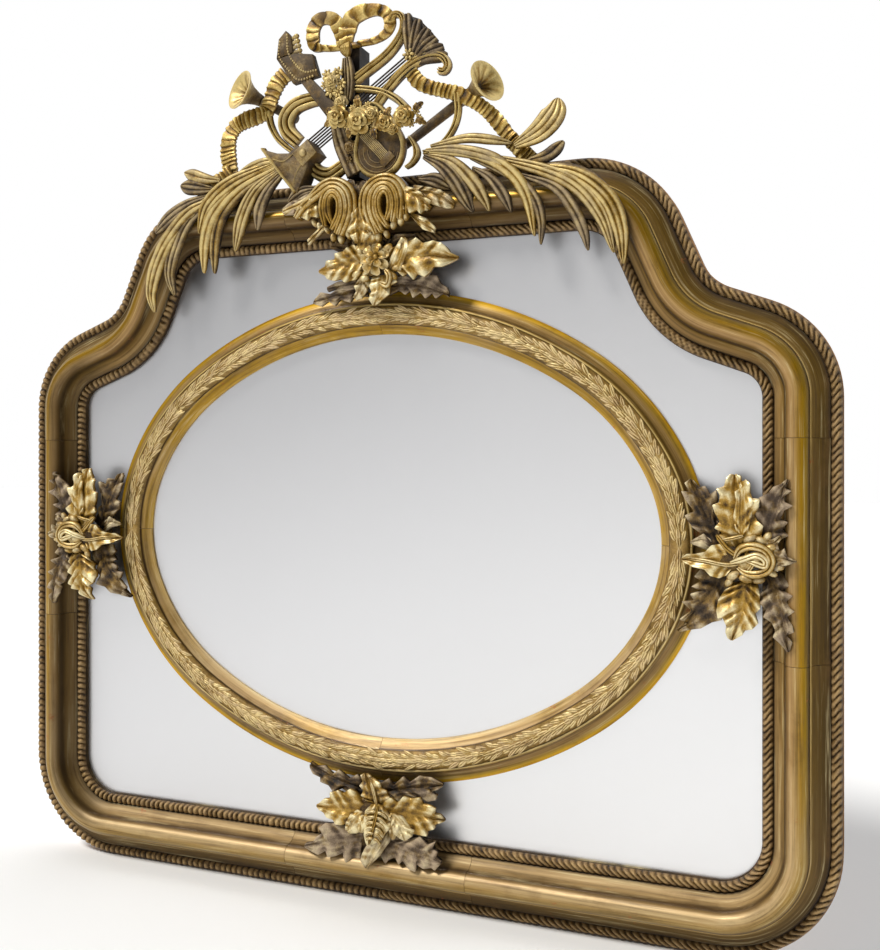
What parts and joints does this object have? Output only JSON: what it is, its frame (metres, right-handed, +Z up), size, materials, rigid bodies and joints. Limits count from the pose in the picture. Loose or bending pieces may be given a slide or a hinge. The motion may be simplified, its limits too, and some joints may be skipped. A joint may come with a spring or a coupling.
{
  "type": "trumeau mirror",
  "caption": "Wall mirror in a shaped gilded frame, an oval frame laid over the glass with leaf clasps, and a carved musical trophy as cresting.",
  "frame": {"origin": "middle of the back face's lower edge, where the frame meets the wall and its shelf", "axes": "+X to the viewer's right, +Y into the wall, +Z up; the glass faces -Y"},
  "size_m": [1.4724, 0.1063, 1.5177],
  "materials": {
    "pine": "planed, aged, unfinished",
    "gilded_moulding": "burnished antique gilding on the torus, matt bronze in the coves",
    "aged_rope": "worn antique gilding",
    "bright_oval": "burnished antique gilding",
    "laurel": "rubbed antique gilding",
    "mirror_glass": "silvered plate glass",
    "iron": "dull",
    "dark_leaf": "matt taupe paint over gesso",
    "bright_leaf": "burnished gilding",
    "gilded_trophy": "antique gilding",
    "gilded_ribbon": "antique gilding",
    "gilded_palm": "antique gilding, taupe in the hollows",
    "dark_trophy": "dark taupe paint",
    "brass_wire": "dull"
  },
  "bodies": {
    "mirror": {"acanthus_cresting": "gilded_trophy", "back_panel_left": "pine", "back_panel_right": "pine", "back_screws": "iron", "carcass_bottom_rail": "pine", "carcass_stile_left": "pine", "carcass_stile_right": "pine", "carcass_top_rail": "pine", "clasp_bottom_foliage": "dark_leaf", "clasp_bottom_gilding": "bright_leaf", "clasp_left_foliage": "dark_leaf", "clasp_left_gilding": "bright_leaf", "clasp_right_foliage": "dark_leaf", "clasp_right_gilding": "bright_leaf", "clasp_top_foliage": "dark_leaf", "clasp_top_gilding": "bright_leaf", "crest_post": "pine", "glazing_blocks": "pine", "hanger_straps": "iron", "laurel_band_lower": "laurel", "laurel_band_upper": "laurel", "lower_batten": "pine", "lute_body": "dark_trophy", "lute_neck": "dark_trophy", "lyre_frame": "gilded_trophy", "lyre_plume": "dark_trophy", "lyre_strings": "brass_wire", "moulding_bottom": "gilded_moulding", "moulding_lower_left": "gilded_moulding", "moulding_lower_right": "gilded_moulding", "moulding_shoulder_left": "gilded_moulding", "moulding_shoulder_right": "gilded_moulding", "moulding_side_left": "gilded_moulding", "moulding_side_right": "gilded_moulding", "moulding_top": "gilded_moulding", "outer_rope_left": "aged_rope", "outer_rope_right": "aged_rope", "oval_mirror_plate": "mirror_glass", "oval_moulding_lower_left": "bright_oval", "oval_moulding_lower_right": "bright_oval", "oval_moulding_upper_left": "bright_oval", "oval_moulding_upper_right": "bright_oval", "palm_spray_left": "gilded_palm", "palm_spray_right": "gilded_palm", "ribbon_bow": "gilded_ribbon", "ribbon_left": "gilded_ribbon", "ribbon_right": "gilded_ribbon", "rose_garland": "gilded_trophy", "sight_rope_left": "aged_rope", "sight_rope_right": "aged_rope", "spandrel_plate_lower_left": "mirror_glass", "spandrel_plate_lower_right": "mirror_glass", "spandrel_plate_upper_left": "mirror_glass", "spandrel_plate_upper_right": "mirror_glass", "trumpet_left": "gilded_trophy", "trumpet_right": "gilded_trophy", "upper_batten": "pine"},
    "ring_left": {"hanger_ring_left": "iron"},
    "ring_right": {"hanger_ring_right": "iron"}
  },
  "joints": [
    {"name": "ring_left_swing", "type": "hinge", "parent": "mirror", "child": "ring_left", "pos_m": [-0.69, -0.0044, 0.76], "axis": [1, 0, 0], "range_deg": [0, 180]},
    {"name": "ring_right_swing", "type": "hinge", "parent": "mirror", "child": "ring_right", "pos_m": [0.69, -0.0044, 0.76], "axis": [1, 0, 0], "range_deg": [0, 180]}
  ]
}
